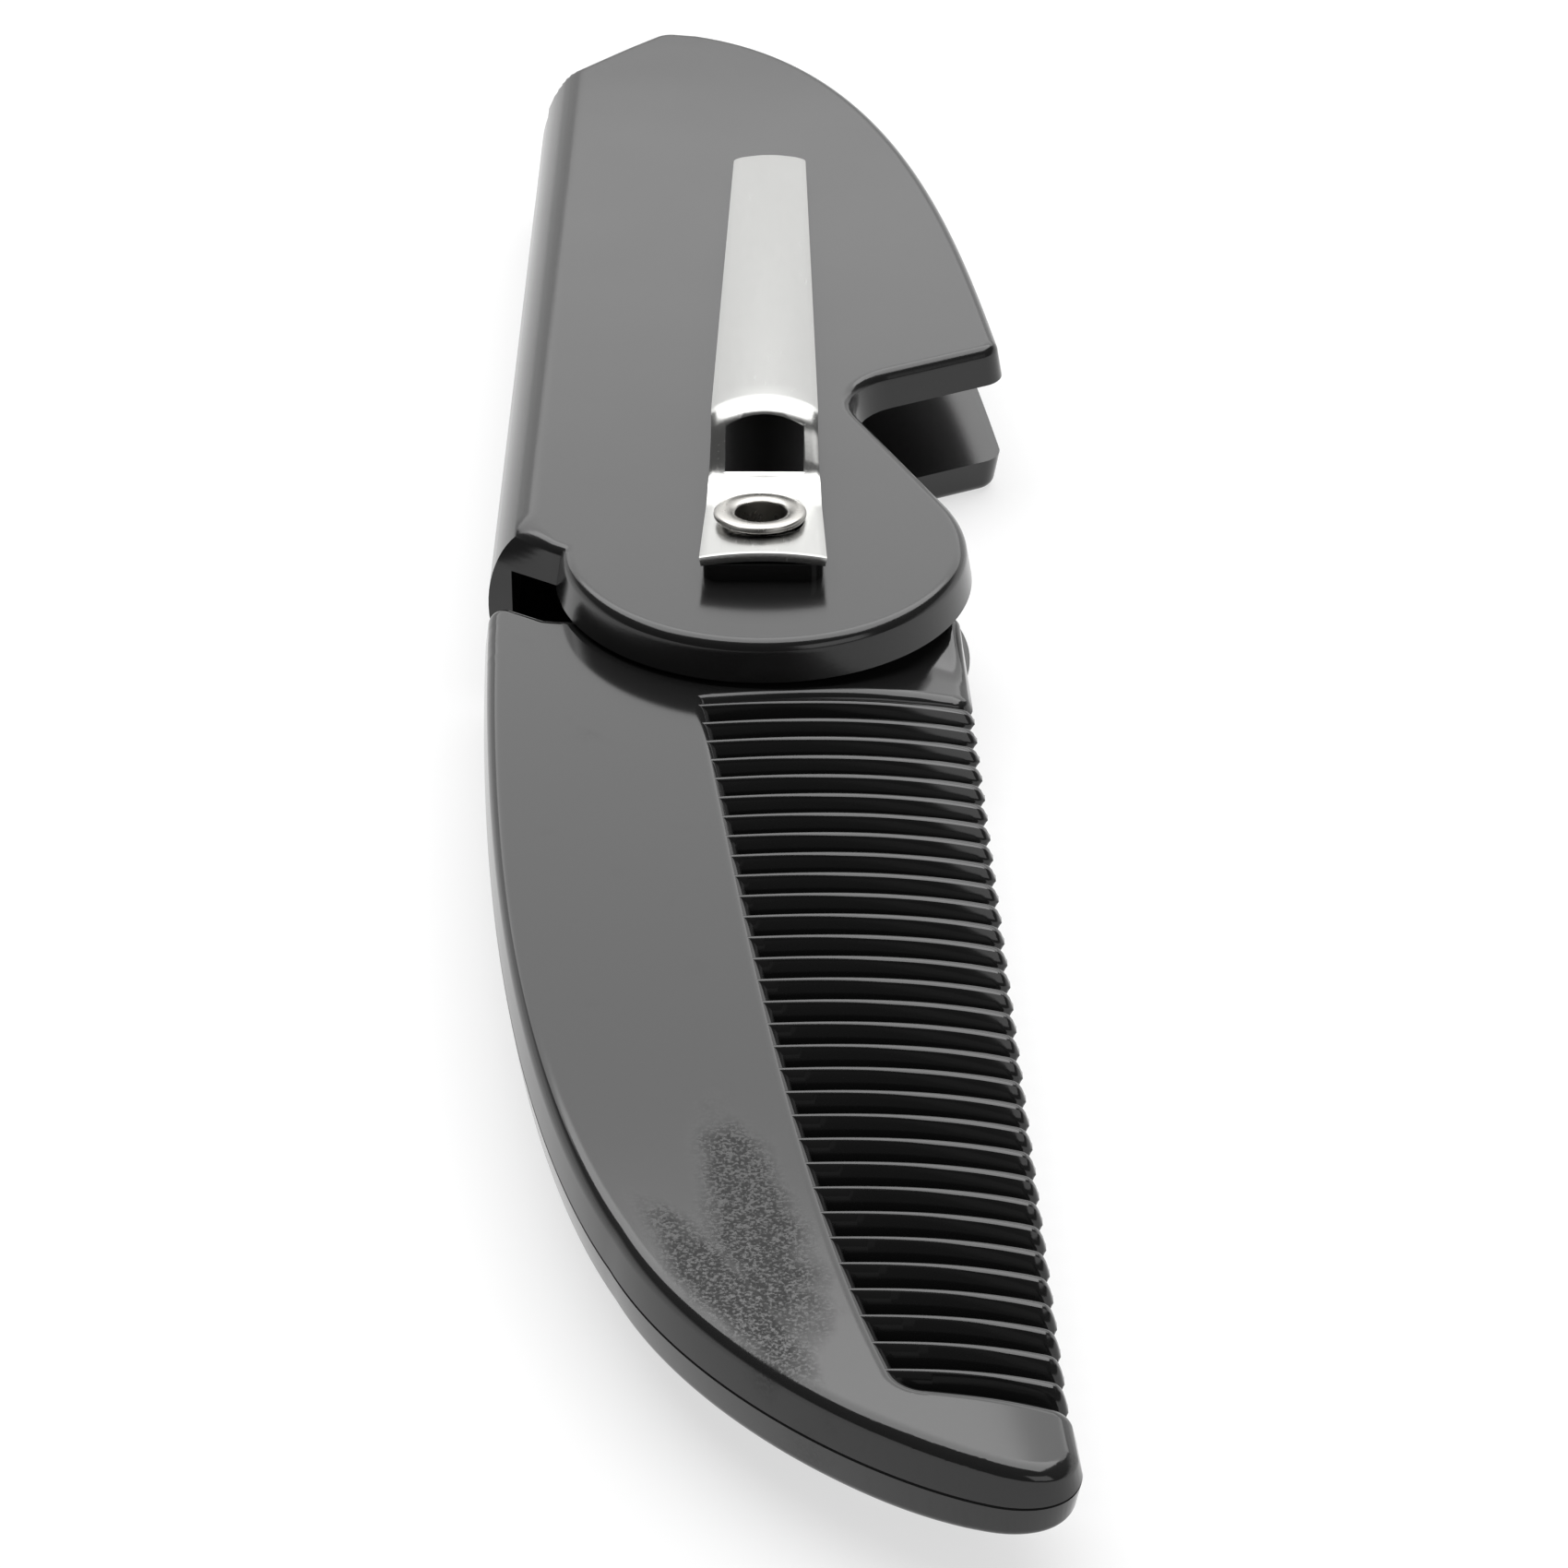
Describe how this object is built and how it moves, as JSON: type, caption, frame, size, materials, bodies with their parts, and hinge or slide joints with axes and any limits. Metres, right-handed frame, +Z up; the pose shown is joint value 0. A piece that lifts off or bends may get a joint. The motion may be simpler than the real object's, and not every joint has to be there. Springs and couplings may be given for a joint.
{
  "type": "folding comb",
  "caption": "Folding pocket comb: a fine-toothed comb that swings on a hollow rivet into a slotted moulded handle with a bent steel pocket clip.",
  "frame": {"origin": "on the surface that the open comb lies on, under the middle of its outline", "axes": "+Y along the open comb, from the comb's tip to the handle's far end; +Z up, out of the face with the clip; the teeth point to +X"},
  "size_m": [0.0264, 0.1322, 0.0131],
  "materials": {
    "black_moulded_plastic": "black moulded plastic, glossy with a very fine moulded grain",
    "black_comb_plastic": "black moulded plastic, polished",
    "stainless_strip": "bright rolled stainless strip",
    "plated_rivet": "bright nickel-plated hollow rivet"
  },
  "bodies": {
    "handle": {"handle": "black_moulded_plastic", "clip": "stainless_strip", "pivot_rivet": "plated_rivet"},
    "comb": {"comb": "black_comb_plastic"}
  },
  "joints": [
    {"name": "comb_fold", "type": "hinge", "parent": "handle", "child": "comb", "pos_m": [0.0006, 0.00106, 0.0043], "axis": [0, 0, 1], "range_deg": [0, 180]}
  ]
}
